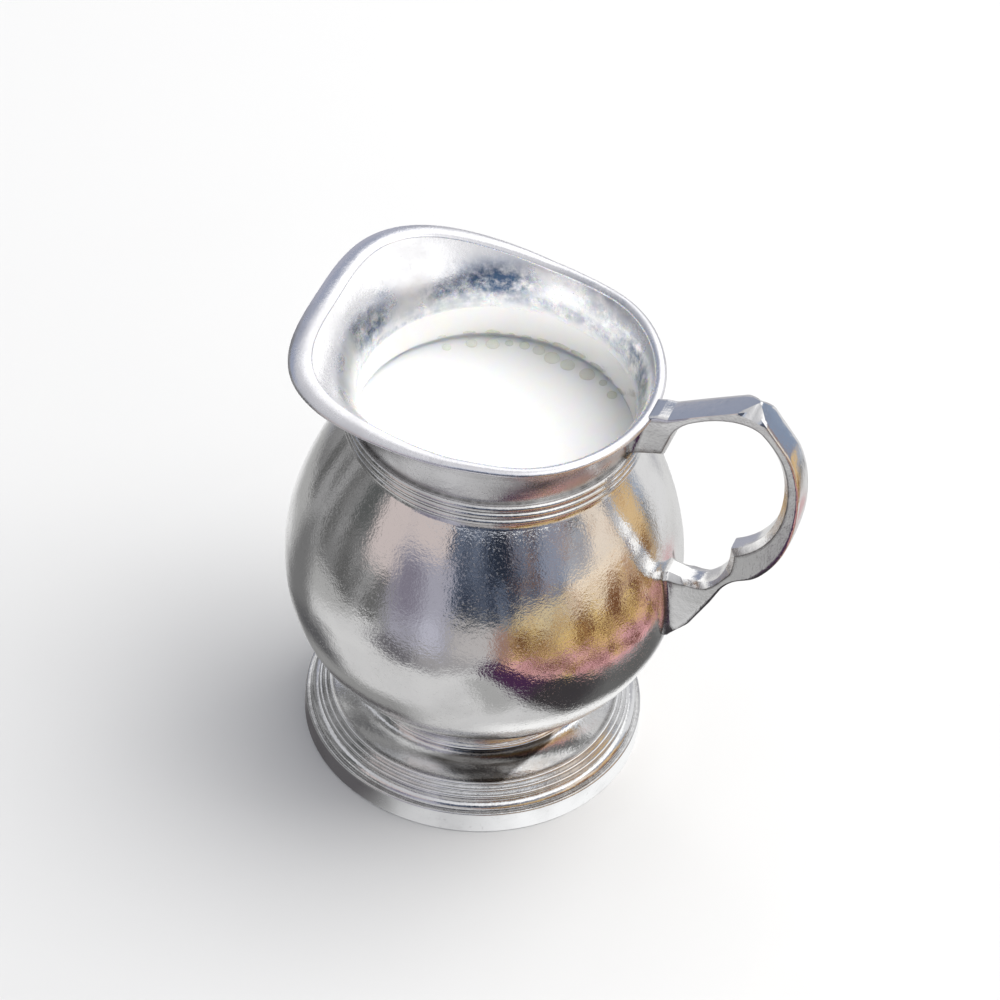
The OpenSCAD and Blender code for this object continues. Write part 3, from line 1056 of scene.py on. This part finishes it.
# Then in the dark shape, right of it, and round the far side
ROOM_REST = [
    ((-67, -57), (74, 300), (2, 10), (0.018, 0.024, 0.04)),
    ((-38, -20), (60, 300), (3, 8), (0.24, 0.275, 0.36)),
    ((-26, -5), (62, 103), (4, 7), (0.36, 0.38, 0.43)),
    ((-84, -60), (-20, 37), (4, 5), (0.46, 0.44, 0.44)),
    ((-52, -24), (22, 52), (3, 6), (0.6, 0.5, 0.33)),
    ((-26, 10), (20, 62), (5, 8), (0.88, 0.75, 0.6)),
    ((-10, 12), (60, 300), (3, 8), (0.8, 0.7, 0.6)),
    ((-64, -52), (-20, 34), (3, 5), (0.3, 0.18, 0.15)),
    ((-54, -4), (-20, 20), (4, 5), (0.47, 0.31, 0.16)),
    ((-4, 22), (-20, 44), (3, 8), (0.52, 0.35, 0.27)),
    ((14, 31), (18, 300), (2, 8), (0.68, 0.49, 0.27)),
    ((22, 36), (-20, 20), (3, 8), (0.44, 0.33, 0.24)),
    ((31, 38), (40, 300), (2, 8), (0.34, 0.39, 0.48)),
    ((14, 40), (86, 300), (3, 6), (0.24, 0.3, 0.41)),
    ((37, 62), (-20, 300), (3, 20), (0.72, 0.72, 0.73)),
    ((62, 116), (-20, 300), (3, 20), (0.52, 0.52, 0.55)),
    ((116, 150), (-20, 300), (5, 20), (0.4, 0.41, 0.48)),
]


def room_paint(n, place, parts):
    """What stands round the jug, by azimuth in degrees and height in millimetres."""
    azimuth = azimuth_of(n, parts)
    ragged = n.math("SUBTRACT", n.noise(place, 90, 3), 0.5)
    frayed = n.math("SUBTRACT", n.noise(place, 420, 3, 0.6), 0.5)
    azimuth = n.plus(azimuth, n.times(ragged, 6.0))
    azimuth = n.plus(azimuth, n.times(frayed, 7.0))
    height = n.plus(n.times(parts["Z"], 1000.0), n.times(frayed, 14.0))
    streaks = n.span(n.noise(place, 60, 3, 0.6, stretch=(1, 1, 0.25)), 0.35, 0.65)
    streaks = n.plus(streaks, n.times(frayed, 1.2), True)
    grey = n.mix(streaks, (0.1, 0.1, 0.1, 1), (0.32, 0.32, 0.325, 1))
    navy = n.mix(streaks, (0.022, 0.029, 0.05, 1), (0.16, 0.19, 0.26, 1))
    wall = patchwork(n, grey, azimuth, height, ROOM_LEFT)
    # The dark shape has a crisp left edge that leans at the top, and fades out on the right
    dark = n.span(n.plus(azimuth, n.times(n.span(height, 84, 94), 6.0)), -86.2, -84.8)
    dark = n.times(dark, n.span(azimuth, -26, -12, 1.0, 0.0))
    dark = n.times(dark, n.span(height, 40, 52))
    wall = n.mix(dark, wall, navy)
    wall = patchwork(n, wall, azimuth, height, ROOM_REST)
    # Food low on the right: yellow, brown, and crumbs over all of it
    food = n.times(n.span(azimuth, -60, -50), n.span(azimuth, 26, 31, 1.0, 0.0))
    low = n.times(food, n.span(height, 26, 48, 1.0, 0.0))
    yellow = n.span(n.noise(place, 60, 4, 0.65, (5.0, 2.0, 1.0)), 0.47, 0.52, 0.0, 0.8)
    wall = n.mix(n.times(low, yellow), wall, (0.88, 0.63, 0.23, 1))
    brown = n.span(n.noise(place, 55, 5, 0.7), 0.48, 0.53)
    wall = n.mix(n.times(low, brown), wall, (0.12, 0.045, 0.02, 1))
    crumbs = n.span(n.noise(place, 90, 4, 0.7, (1.0, 4.0, 2.0)), 0.54, 0.59, 0.0, 0.75)
    return n.mix(n.times(food, crumbs), wall, (0.36, 0.17, 0.06, 1))


# Patches of the table top: ranges along X and Y in millimetres, softness of each, colour
TABLE_CLOTH = [
    ((-500, -92), (-500, 500), (14, 30), (0.4, 0.4, 0.4)),
    ((-80, -20), (18, 120), (14, 8), (0.82, 0.82, 0.82)),
    ((-500, -50), (-30, 10), (8, 12), (0.17, 0.17, 0.172)),
    ((-62, -26), (-38, -4), (7, 7), (0.1, 0.1, 0.105)),
    ((-70, 4), (-200, -97), (10, 10), (0.26, 0.255, 0.27)),
    ((-64, -20), (-130, -97), (9, 9), (0.13, 0.125, 0.14)),
    ((-20, 44), (-200, -112), (10, 12), (0.33, 0.32, 0.33)),
    ((24, 40), (-95, -48), (5, 8), (0.38, 0.38, 0.38)),
    ((40, 70), (-30, 36), (5, 12), (0.13, 0.13, 0.13)),
    ((42, 72), (-128, -14), (4, 12), (0.046, 0.042, 0.046)),
    ((44, 72), (-128, -52), (4, 8), (0.06, 0.024, 0.066)),
    ((-20, 500), (48, 500), (20, 6), (0.7, 0.7, 0.7)),
]
# The same by azimuth and distance from the axis: the jug's own shade, and bright cloth beside it
TABLE_ROUND = [
    ((-170, -98), (0, 50), (12, 5), (0.28, 0.28, 0.28)),
    ((-160, -104), (0, 37), (10, 3), (0.1, 0.095, 0.1)),
    ((-60, 45), (0, 42), (15, 3), (0.95, 0.95, 0.95)),
]
TABLE_PINK = [
    ((76, 104), (60, 86), (8, 8), (0.62, 0.4, 0.41)),
]


def table_paint(n, place, parts):
    """The table top as the jug sees it, in millimetres along X and Y."""
    x = n.times(parts["X"], 1000.0)
    y = n.times(parts["Y"], 1000.0)
    ragged = n.math("SUBTRACT", n.noise(place, 60, 3), 0.5)
    wavy_x = n.plus(x, n.times(ragged, 9.0))
    wavy_y = n.plus(y, n.times(ragged, 16.0))
    cloth = n.mix(n.noise(place, 45, 3), (0.52, 0.52, 0.53, 1), (0.7, 0.7, 0.7, 1))
    plain = patchwork(n, cloth, wavy_x, wavy_y, TABLE_CLOTH)
    azimuth = azimuth_of(n, parts)
    radius = n.math("SQRT", n.plus(n.times(x, x), n.times(y, y)))
    plain = patchwork(n, plain, azimuth, radius, TABLE_ROUND)
    # Food towards the handle: pink and golden, with dark brown in it
    baked = n.noise(place, 40, 4, 0.6, (3.0, 1.0, 0.0))
    golden = n.span(wavy_x, 92, 118, 0.0, 0.1)
    baked = n.span(n.plus(baked, golden), 0.53, 0.58)
    food = n.mix(baked, (0.72, 0.38, 0.4, 1), (0.68, 0.45, 0.17, 1))
    food = n.mix(n.span(n.noise(place, 60, 5, 0.7), 0.49, 0.54), food, (0.13, 0.05, 0.03, 1))
    inside = n.times(n.span(wavy_x, 69, 73), n.span(wavy_y, 42, 52, 1.0, 0.0))
    inside = n.times(inside, n.span(y, -150, -128))
    plain = n.mix(inside, plain, food)
    return patchwork(n, plain, wavy_x, wavy_y, TABLE_PINK)


def build_reflections():
    """A low ring wall and a table top that stand for the room in the metal's reflections only."""
    wall = bmesh.new()
    steps = 120
    for i in range(steps):
        t = 2 * math.pi * i / steps
        for z in (0.0, ROOM_H):
            wall.verts.new((ROOM_R * math.cos(t), ROOM_R * math.sin(t), z))
    wall.verts.ensure_lookup_table()
    for i in range(steps):
        here, after = 2 * i, 2 * ((i + 1) % steps)
        wall.faces.new([wall.verts[j] for j in (here, after, after + 1, here + 1)])
    reflection_only("room_reflection", wall, room_paint)
    top = bmesh.new()
    bmesh.ops.create_circle(
        top, cap_ends=True, radius=ROOM_R, segments=96, matrix=Matrix.Translation((0, 0, TABLE_Z))
    )
    reflection_only("table_reflection", top, table_paint)


# The key light: its direction, its distance and side in metres, and its power in watts
KEY_AZIMUTH, KEY_ELEVATION, KEY_DISTANCE, KEY_SIDE, KEY_POWER = 40, 57, 1.1, 1.1, 12.0


def build_key_light():
    """Large soft light, high up, that looks at the jug's middle."""
    light = bpy.data.lights.new("key", "AREA")
    light.shape = "RECTANGLE"
    light.size = light.size_y = KEY_SIDE
    light.energy = KEY_POWER
    light.color = (1.0, 0.99, 0.96)
    obj = linked("key", light)
    middle = Vector((0, 0, 0.05))
    back = direction(KEY_AZIMUTH, KEY_ELEVATION)
    obj.location = middle + back * KEY_DISTANCE
    obj.rotation_mode = "QUATERNION"
    obj.rotation_quaternion = (-back).to_track_quat("-Z", "Y")
    # The metal sees the window painted in the world, so the light itself is kept out of it
    obj.visible_glossy = False


# Patches of the sky: ranges of azimuth and elevation in degrees, softness of each, colour
SKY = [
    ((-85, 135), (-10, 78), (28, 12), (0.78, 0.78, 0.8)),
    ((-98, -50), (-10, 26), (12, 8), (0.5, 0.55, 0.66)),
    ((-46, 122), (4, 72), (22, 10), (1.22, 1.22, 1.22)),
    ((110, 200), (-10, 38), (6, 5), (0.3, 0.33, 0.42)),
]


def build_world():
    """Soft room: a wide pale window to the right, a greyer room to the left."""
    world = bpy.data.worlds.new("studio")
    bpy.context.scene.world = world
    world.use_nodes = True
    n = Nodes(world.node_tree)
    out = n.add("OutputWorld")
    back = n.add("Background")
    way = n.add("TexCoord").outputs["Generated"]
    parts = n.add("SeparateXYZ")
    n.link(way, parts.inputs["Vector"])
    azimuth = azimuth_of(n, parts.outputs)
    height = n.times(n.math("ARCSINE", parts.outputs["Z"]), 180 / math.pi)
    base = n.mix(n.span(height, 0.0, 80.0), (0.4, 0.41, 0.44, 1), (0.6, 0.6, 0.62, 1))
    colour = patchwork(n, base, azimuth, height, SKY)
    n.link(colour, back.inputs["Color"])
    back.inputs["Strength"].default_value = 1.0
    n.link(back.outputs["Background"], out.inputs["Surface"])


# The camera: focal length in millimetres, direction, distance in metres, and height it is aimed at
LENS, CAMERA_AZIMUTH, CAMERA_ELEVATION = 189.1, -90 + 18.5, 44.1
CAMERA_DISTANCE, CAMERA_AIM_Z = 0.974, 0.0438
# Its tilt in degrees, and how far it is moved sideways and up to frame the jug
ROLL, AIM_RIGHT, AIM_UP = 4.57, 0.00284, 0.00849


def build_camera():
    """A long lens from the side of the lip and handle, well above the jug, tilted a little."""
    data = bpy.data.cameras.new("camera")
    camera = linked("camera", data)
    bpy.context.scene.camera = camera
    data.sensor_width = 36
    data.lens = LENS
    data.clip_start, data.clip_end = 0.01, 50
    away = direction(CAMERA_AZIMUTH, CAMERA_ELEVATION)
    target = Vector((0, 0, CAMERA_AIM_Z))
    level = (-away).to_track_quat("-Z", "Y").to_matrix()
    turn = level @ Matrix.Rotation(math.radians(ROLL), 3, "Z")
    aim = turn @ Vector((AIM_RIGHT, AIM_UP, 0))
    camera.location = target + aim + away * CAMERA_DISTANCE
    camera.rotation_mode = "QUATERNION"
    camera.rotation_quaternion = turn.to_quaternion()


def build_floor():
    """Wide round sheet of pale paper."""
    shape = bmesh.new()
    bmesh.ops.create_circle(shape, cap_ends=True, radius=6.0, segments=96)
    mesh = mesh_from("studio_floor", shape)
    floor = linked("studio_floor", mesh)
    material, n = new_material("floor_paper")
    out = n.add("OutputMaterial")
    paper = n.add("BsdfPrincipled")
    paper.inputs["Base Color"].default_value = (0.7, 0.7, 0.7, 1)
    paper.inputs["Roughness"].default_value = 0.9
    n.link(paper.outputs["BSDF"], out.inputs["Surface"])
    mesh.materials.append(material)


def build_studio():
    """Floor, sky, light, and what the metal reflects."""
    build_floor()
    build_world()
    build_key_light()
    build_reflections()


bpy.context.scene.view_settings.view_transform = "Standard"
build_camera()
bowl = silver("bowl_silver", (0.94, 0.935, 0.925), rough=(0.03, 0.08), pits=1.1)
build_bowl(bowl)
build_neck_ring(bowl)
mouth = silver("mouth_silver", (0.94, 0.935, 0.945), rough=(0.2, 0.34), pits=0.7, seed=3.0)
build_mouth(mouth)
build_lip(mouth)
build_wire(silver("rim_silver", (0.97, 0.965, 0.99), rough=(0.18, 0.3), pits=0.8, seed=5.0))
foot = silver("foot_silver", (0.97, 0.975, 0.98), pits=0.6, seed=8.0)
build_collar(foot)
build_foot(foot)
build_foot_ring(foot)
cast = silver("handle_silver", (0.93, 0.925, 0.92), pits=0.5, ripple=1.2, seed=11.0)
build_handle(cast)
build_roots(cast)
build_cream(cream_material())
build_bubbles(bubble_material())
build_studio()
